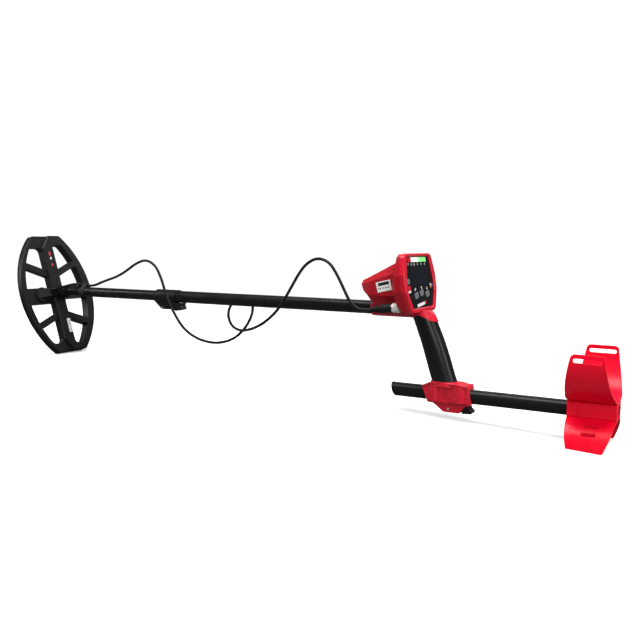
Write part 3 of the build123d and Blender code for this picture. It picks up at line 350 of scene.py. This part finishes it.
def lit_strip(name):
    """The backlit scale over the display: white at the left, green to the right, faintly speckled."""
    material, links, shader, node = blank(name)
    where = node("ShaderNodeTexCoord")
    parts = node("ShaderNodeSeparateXYZ")
    links.new(where.outputs["Object"], parts.inputs["Vector"])
    share = ramp_between(node, links, parts.outputs["Y"], 0.0, 1.0, -0.012, 0.012)
    tone = mix_colour(node, links, share.outputs["Result"], (0.9, 0.93, 0.88), (0.2, 0.72, 0.2))
    speckle = noise(node, links, where, 900.0, 2.0)
    fade = ramp_between(node, links, speckle.outputs["Fac"], 0.35, 0.6)
    links.new(tone.outputs[MIX_RESULT], shader.inputs["Base Color"])
    links.new(tone.outputs[MIX_RESULT], shader.inputs["Emission Color"])
    links.new(fade.outputs["Result"], shader.inputs["Emission Strength"])
    shader.inputs["Roughness"].default_value = 0.3
    return material


def black(name, level, rough, **more):
    """A black moulding: low specular level, so that soft light leaves it dark."""
    return moulded(name, (level, level, level * 1.08), rough, specular=0.17, **more)


MATERIALS = {
    "coil_plastic": black("coil_plastic", 0.005, 0.36, grain=0.2, grain_size=1400, wear=0.2),
    "skid_plastic": black("skid_plastic", 0.005, 0.48, grain=0.2, grain_size=1100, wear=0.3),
    "lock_plastic": black("lock_plastic", 0.006, 0.36, grain=0.25, grain_size=1500, wear=0.2),
    "fastener_plastic": black("fastener_plastic", 0.006, 0.3, grain=0.15, wear=0.3),
    "black_rubber": black("black_rubber", 0.008, 0.55, grain=0.3, grain_size=1800),
    "cable_black": black("cable_black", 0.007, 0.38, grain=0.15, grain_size=2200),
    "shaft_tube": black("shaft_tube", 0.006, 0.3, grain=0.03, grain_size=2600),
    "pod_red": moulded("pod_red", (0.4, 0.004, 0.013), 0.34, grain=0.2, grain_size=1300, wear=0.2,
                       specular=0.26),
    # painted light: a brighter copy of the pod's red that stands in for the light on the handle frame and
    # clamp cap
    "painted_light_handle_red": moulded("painted_light_handle_red", (0.62, 0.008, 0.028), 0.3, grain=0.15, grain_size=1300, wear=0.2,
                          specular=0.34),
    "bezel_red": moulded("bezel_red", (0.6, 0.006, 0.024), 0.26, grain=0.05, grain_size=1300, wear=0.15,
                         specular=0.34),
    "armrest_red": moulded("armrest_red", (0.88, 0.0, 0.022), 0.3, grain=0.05, subsurface=0.06,
                           specular=0.24),
    "grip_black": black("grip_black", 0.006, 0.3, grain=0.02, grain_size=1600, spread=0.03),
    "window_black": moulded("window_black", (0.003, 0.004, 0.006), 0.08, grain=0.0, spread=0.02,
                            specular=0.1),
    "key_grey": moulded("key_grey", (0.15, 0.155, 0.165), 0.55, grain=0.3, grain_size=1800),
    "key_red": moulded("key_red", (0.13, 0.14, 0.15), 0.5, grain=0.3, grain_size=1800),
    "connector_white": moulded("connector_white", (0.82, 0.8, 0.76), 0.35, grain=0.1),
    "label_paper": moulded("label_paper", (0.84, 0.84, 0.82), 0.5, grain=0.1, tint=0.03),
    "steel": moulded("steel", (0.62, 0.62, 0.64), 0.28, grain=0.1, metallic=1.0),
    "cell_sleeve": moulded("cell_sleeve", (0.5, 0.5, 0.48), 0.35, metallic=0.6),
    "contact_brass": moulded("contact_brass", (0.7, 0.52, 0.22), 0.3, metallic=1.0),
    "circuit_board": moulded("circuit_board", (0.02, 0.14, 0.07), 0.35, grain=0.3, grain_size=500),
    "speaker_black": moulded("speaker_black", (0.02, 0.02, 0.02), 0.6),
    "winding_tape": moulded("winding_tape", (0.4, 0.16, 0.05), 0.5, grain=0.4, grain_size=300),
    "lcd_glass": moulded("lcd_glass", (0.01, 0.013, 0.012), 0.15, grain=0.02),
    "fabric_strap": moulded("fabric_strap", (0.012, 0.012, 0.012), 0.85, grain=0.6, grain_size=2500),
}
WHITE_INK = moulded("white_ink", (0.86, 0.86, 0.85), 0.4, grain=0.05, tint=0.03, round_edges=False)
RED_INK = moulded("red_ink", (0.7, 0.004, 0.03), 0.35, grain=0.05, tint=0.05, round_edges=False)
BLACK_INK = moulded("black_ink", (0.008, 0.008, 0.009), 0.4, grain=0.05, round_edges=False)
BLUE_INK = moulded("blue_ink", (0.12, 0.25, 0.6), 0.35, grain=0.05, round_edges=False)
GLASS_INK = moulded("glass_ink", (0.004, 0.007, 0.012), 0.1, grain=0.0, spread=0.02, specular=0.1,
                    round_edges=False)
AMBER_INK = moulded("amber_ink", (0.75, 0.38, 0.05), 0.35, grain=0.05, round_edges=False)

HANDLE_MOULDINGS = ("handle_frame", "rear_clamp_cap")  # the pod's red, brightened on these parts as painted light standing in for the light they catch
slot_of = {entry["node"]: entry["material_slot"] for entry in frame["record"]["subparts"]}
for node_name, cad_node in frame["nodes"].items():
    cad_node.data.materials.clear()
    finish = "painted_light_handle_red" if node_name in HANDLE_MOULDINGS else slot_of[node_name]
    cad_node.data.materials.append(MATERIALS[finish])
for cable in (front_cable, main_cable):
    cable.data.materials.append(MATERIALS["cable_black"])

# ---------------------------------------------------------------- printed marks
PRINT_SINK, PRINT_THICK = 0.01, 0.09  # millimetres above the surface: a mark's underside and its face
DISPLAY_FOOT = (801.6, 44.1)  # x and z of the window's face where `up` is nought
LEAN = math.radians(8.7)
LABEL_MIDDLE = (755, -34.52, 37)
LABEL_THICK = 0.3
WALL_TURN = math.atan2(4, 40)  # the pod's left wall slopes 4 in 40
SPINE_TOP, COIL_LABEL_TOP = 18, 18.3


def on_display(y, up, out):
    """A point of the display's leaning face; `out` is counted from the window."""
    x, z = DISPLAY_FOOT
    return at(
        x - up * math.sin(LEAN) + out * math.cos(LEAN),
        y,
        z + up * math.cos(LEAN) + out * math.sin(LEAN),
    )


def on_side_label(along_pod, up, out):
    """A point of the sticker on the pod's left wall; `out` is counted from its face."""
    x, y, z = LABEL_MIDDLE
    proud = out + LABEL_THICK
    return at(
        x + along_pod * math.cos(WALL_TURN) - proud * math.sin(WALL_TURN),
        y - along_pod * math.sin(WALL_TURN) - proud * math.cos(WALL_TURN),
        z + up,
    )


def on_spine(right, toe, out):
    """A point of the coil's raised spine."""
    return at(*coil_point(toe, right, SPINE_TOP + out))


def on_coil_label(right, toe, out):
    """A point of the sticker on the coil's heel."""
    return at(*coil_point(toe, right, COIL_LABEL_TOP + out))


def patch(x, y, width, height, turn=0.0, corner=0.4):
    """A rectangle with round corners, turned by `turn` degrees, as a ring of points."""
    tilt = math.radians(turn)
    ring = []
    for quarter, (sx, sy) in enumerate(((1, 1), (-1, 1), (-1, -1), (1, -1))):
        for step in range(4):
            angle = math.pi / 2 * (quarter + step / 3)
            u = sx * (width / 2 - corner) + corner * math.cos(angle)
            v = sy * (height / 2 - corner) + corner * math.sin(angle)
            ring.append(
                (x + u * math.cos(tilt) - v * math.sin(tilt), y + u * math.sin(tilt) + v * math.cos(tilt))
            )
    return ring


def printed(name, rings, place, material, body):
    """Thin raised marks in one mesh, riding on a body."""
    bm = bmesh.new()
    for ring in rings:
        low = [bm.verts.new(place(u, v, PRINT_SINK)) for u, v in ring]
        high = [bm.verts.new(place(u, v, PRINT_THICK)) for u, v in ring]
        bm.faces.new(high)
        bm.faces.new(list(reversed(low)))
        for i, j in zip(range(len(ring)), [*range(1, len(ring)), 0]):
            bm.faces.new((low[i], low[j], high[j], high[i]))
    bmesh.ops.recalc_face_normals(bm, faces=bm.faces)
    mesh = bpy.data.meshes.new(name)
    bm.to_mesh(mesh)
    bm.free()
    marks = link(bpy.data.objects.new(name, mesh))
    marks.data.materials.append(material)
    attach(marks, body)


STRIP_MIDDLE, STRIP_HEIGHT = 35.6, 7.4
printed("display_area", [patch(1.5, 11, 62, 31, 0, 1.0)], on_display, GLASS_INK, "detector")
printed("scale_red_end", [patch(-33.5, STRIP_MIDDLE, 12.5, STRIP_HEIGHT)], on_display, RED_INK,
        "detector")
printed("scale_strip", [patch(4, STRIP_MIDDLE, 61.5, STRIP_HEIGHT)], on_display, lit_strip("scale_strip"),
        "detector")

target_icons = []
for y, bars in ((-40, 1), (-28, 2), (-16, 3), (-2, 2), (13, 1), (28, 2)):
    # small pictures under the scale: a round head over one, two or three short strokes
    target_icons.append(patch(y, 29.4, 2.0, 2.0, corner=0.9))
    for stroke in range(bars):
        target_icons.append(patch(y + 1.5 * (stroke - (bars - 1) / 2), 27.3, 0.9, 1.8, corner=0.3))
printed("target_icons", target_icons, on_display, WHITE_INK, "detector")

printed(
    "key_icons",
    [
        patch(-23.2, -11.2, 5.6, 2.0, 35), patch(-21.6, -10.2, 1.8, 3.4),
        patch(2.6, -8.0, 4.2, 1.4), patch(2.6, -10.2, 4.2, 1.4),
        patch(24.6, -11.0, 1.8, 4.2), patch(26.4, -11.8, 2.2, 1.4),
        patch(-46, -14.2, 11.5, 3.0, 6),
        patch(-5.6, -35.6, 31, 4.6, 6, 1.0),
    ],
    on_display, WHITE_INK, "detector",
)
printed(
    "red_marks",
    [
        patch(-49.2, -8.4, 2.4, 7.4, 0, 0.9), patch(-45.6, -8.4, 2.4, 7.4, 0, 0.9),
        patch(-42.0, -8.4, 2.4, 7.4, 0, 0.9), patch(-50.5, 9.8, 2.2, 1.6),
        patch(13.6, -33.4, 6.4, 5.6, 0, 2.6),
    ],
    on_display, RED_INK, "detector",
)
printed("blue_icon", [patch(47.6, -7.0, 6.4, 4.2, 0, 1.4)], on_display, BLUE_INK, "detector")
printed("amber_icon", [patch(42.6, -9.4, 3.6, 3.6, 0, 1.6)], on_display, AMBER_INK, "detector")
printed("white_icon", [patch(42.8, -5.4, 4.0, 3.2, 0, 1.2)], on_display, WHITE_INK,
        "detector")

label_marks = [patch(-1.0, 4.0, 20, 5.0, 13, 0.5)]
for tick in range(7):
    label_marks.append(patch(-9.5 + 3.1 * tick, -4.6 + 0.62 * tick, 1.1 + 0.5 * (tick % 2), 2.6, 13, 0.3))
printed("side_label_marks", label_marks, on_side_label, BLACK_INK, "detector")

coil_label_marks = []
for row in range(6):
    coil_label_marks.append(patch(3.7, -84 + 4.4 * row, 6.0 - 1.4 * (row % 3), 1.1, 0, 0.3))
printed("coil_label_marks", coil_label_marks, on_coil_label, BLACK_INK, "coil")
printed("spine_red_marks", [patch(-3.6, 86, 3.6, 9, -6, 1.2), patch(-3.0, 62, 4.4, 4.2, -6, 1.2)], on_spine,
        RED_INK, "coil")
printed("spine_white_mark", [patch(-3.2, 76, 3.4, 5.4, -6, 1.2)], on_spine, WHITE_INK, "coil")

# ---------------------------------------------------------------- floor and light
FLOOR_HALF, FLOOR_DROP = 1.35, 0.0004
FLOOR_GLOW, FLOOR_BOUNCE = 0.4, 0.16  # the glow only the camera sees, and the grey that lights the object
WORLD_LIGHT, BACKDROP_LIGHT = 0.13, 1.05


def stage_plane():
    """A wide pale floor just under the feet."""
    mesh = bpy.data.meshes.new("floor")
    corners = [
        (x * FLOOR_HALF, y * FLOOR_HALF, -FLOOR_DROP) for x, y in ((-1, -1), (1, -1), (1, 1), (-1, 1))
    ]
    mesh.from_pydata(corners, [], [(0, 1, 2, 3)])
    floor = link(bpy.data.objects.new("floor", mesh))
    material, links, shader, node = blank("floor")
    where = node("ShaderNodeTexCoord")
    broad = noise(node, links, where, 1.3, 2.0)
    tone = mix_colour(node, links, broad.outputs["Fac"], (0.9, 0.9, 0.9), (0.93, 0.93, 0.93))
    # the camera sees a pale, glowing floor; the object is lit by a dim grey one
    seen = node("ShaderNodeLightPath").outputs["Is Camera Ray"]
    shade = node("ShaderNodeMix", data_type="RGBA")
    shade.inputs[MIX_A].default_value = (FLOOR_BOUNCE, FLOOR_BOUNCE, FLOOR_BOUNCE, 1.0)
    links.new(seen, shade.inputs[0])
    links.new(tone.outputs[MIX_RESULT], shade.inputs[MIX_B])
    links.new(shade.outputs[MIX_RESULT], shader.inputs["Base Color"])
    glow = ramp_between(node, links, seen, 0.0, FLOOR_GLOW, 0.0, 1.0)
    links.new(glow.outputs["Result"], shader.inputs["Emission Strength"])
    shader.inputs["Emission Color"].default_value = (1, 1, 1, 1)
    shader.inputs["Roughness"].default_value = 0.85
    shader.inputs["Specular IOR Level"].default_value = 0.1
    floor.data.materials.append(material)


stage_plane()

world = bpy.data.worlds.new("world")
bpy.context.scene.world = world
world.use_nodes = True
sky = world.node_tree
around = sky.nodes["Background"]
around.inputs["Color"].default_value = (1, 1, 1, 1)
around.inputs["Strength"].default_value = WORLD_LIGHT
backdrop = sky.nodes.new("ShaderNodeBackground")
backdrop.inputs["Color"].default_value = (1, 1, 1, 1)
backdrop.inputs["Strength"].default_value = BACKDROP_LIGHT
light_path = sky.nodes.new("ShaderNodeLightPath")
seen = sky.nodes.new("ShaderNodeMixShader")
sky.links.new(light_path.outputs["Is Camera Ray"], seen.inputs[0])
sky.links.new(around.outputs[0], seen.inputs[1])
sky.links.new(backdrop.outputs[0], seen.inputs[2])
sky.links.new(seen.outputs[0], sky.nodes["World Output"].inputs["Surface"])


def area(name, place, target, size, power):
    """A soft rectangular light turned towards a point."""
    data = bpy.data.lights.new(name, "AREA")
    data.shape = "RECTANGLE"
    data.size, data.size_y = size
    data.energy = power
    lamp = bpy.data.objects.new(name, data)
    lamp.location = place
    lamp.rotation_euler = (Vector(target) - Vector(place)).to_track_quat("-Z", "Y").to_euler()
    link(lamp)


# place, target, size in metres, power in watts
area("top_light", (0.15, -0.35, 1.9), (0.1, 0, 0.15), (2.4, 0.9), 56)
area("front_light", (1.35, -1.6, 0.95), (0.42, 0, 0.12), (0.9, 0.6), 15)
area("side_strip", (1.9, -0.25, 0.6), (0.3, 0, 0.1), (0.22, 1.0), 12)
area("left_strip", (-1.7, -0.75, 0.75), (-0.5, 0, 0.12), (0.16, 1.1), 9)
area("back_light", (0.0, 1.5, 1.2), (0.1, 0, 0.15), (2.2, 0.5), 8)

bpy.context.scene.view_settings.view_transform = "Standard"
